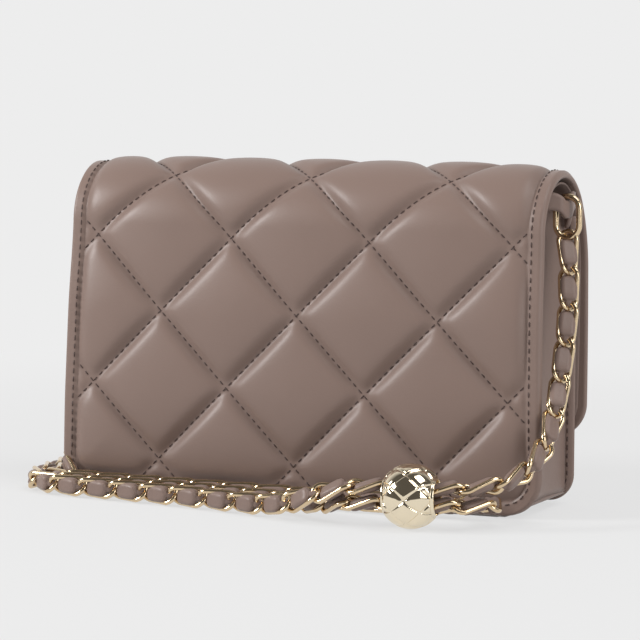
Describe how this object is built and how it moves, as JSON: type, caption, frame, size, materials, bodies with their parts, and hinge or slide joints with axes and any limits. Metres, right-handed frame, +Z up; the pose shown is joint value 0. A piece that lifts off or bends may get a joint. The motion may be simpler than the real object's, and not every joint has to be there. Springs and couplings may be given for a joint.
{
  "type": "chain shoulder bag",
  "caption": "Quilted leather flap bag with an arched top, V-folded gussets, a curb chain strap woven with a leather lace, and a ball that slides on the doubled chain.",
  "frame": {"origin": "on the floor under the middle of the bag's width and depth", "axes": "+Z up, +X along the width, +Y from the quilted back towards the flap's front"},
  "size_m": [0.2268, 0.1485, 0.124],
  "materials": {
    "quilted_leather": "soft taupe leather with a low sheen, quilted over foam",
    "leather": "soft taupe leather with a low sheen",
    "board": "plain fibre board",
    "lining": "smooth matt lining leather",
    "snap_metal": "pale gold plating",
    "gold_metal": "polished pale gold plating",
    "lace_leather": "soft taupe leather",
    "sleeve": "matt soft sleeve"
  },
  "bodies": {
    "bag_body": {"back_panel": "quilted_leather", "front_panel": "leather", "base_panel": "leather", "gusset_right": "leather", "gusset_left": "leather", "ring_strip_right": "leather", "ring_strip_left": "leather", "back_board": "board", "front_board": "board", "base_board": "board", "back_lining": "lining", "front_lining": "lining", "base_lining": "lining", "slip_pocket": "lining", "gusset_lining_right": "lining", "gusset_lining_left": "lining", "snap_socket": "snap_metal", "snap_socket_washer": "snap_metal", "chain_drop_right": "gold_metal", "chain_front_run": "gold_metal", "chain_loop": "gold_metal", "chain_back_run": "gold_metal", "chain_drop_left": "gold_metal", "lace_drop_right": "lace_leather", "lace_front_run": "lace_leather", "lace_loop": "lace_leather", "lace_back_run": "lace_leather", "lace_drop_left": "lace_leather"},
    "flap": {"flap_quilt": "quilted_leather", "flap_board": "board", "flap_lining": "lining", "snap_stud": "snap_metal", "snap_stud_washer": "snap_metal"},
    "ring_right_body": {"ring_right": "gold_metal"},
    "ring_left_body": {"ring_left": "gold_metal"},
    "ball": {"ball_shell": "gold_metal", "ball_sleeve": "sleeve"}
  },
  "joints": [
    {"name": "flap_fold", "type": "hinge", "parent": "bag_body", "child": "flap", "pos_m": [0, -0.02337, 0.10121], "axis": [1, 0, 0], "range_deg": [0, 150]},
    {"name": "ring_right_swing", "type": "hinge", "parent": "bag_body", "child": "ring_right_body", "pos_m": [0.096, 0, 0.1128], "axis": [0, 1, 0], "range_deg": [-5, 5]},
    {"name": "ring_left_swing", "type": "hinge", "parent": "bag_body", "child": "ring_left_body", "pos_m": [-0.096, 0, 0.1128], "axis": [0, 1, 0], "range_deg": [-5, 5]},
    {"name": "ball_slide", "type": "slide", "parent": "bag_body", "child": "ball", "axis": [0.9903, 0.1392, 0], "range_m": [-0.005, 0.0015]}
  ]
}
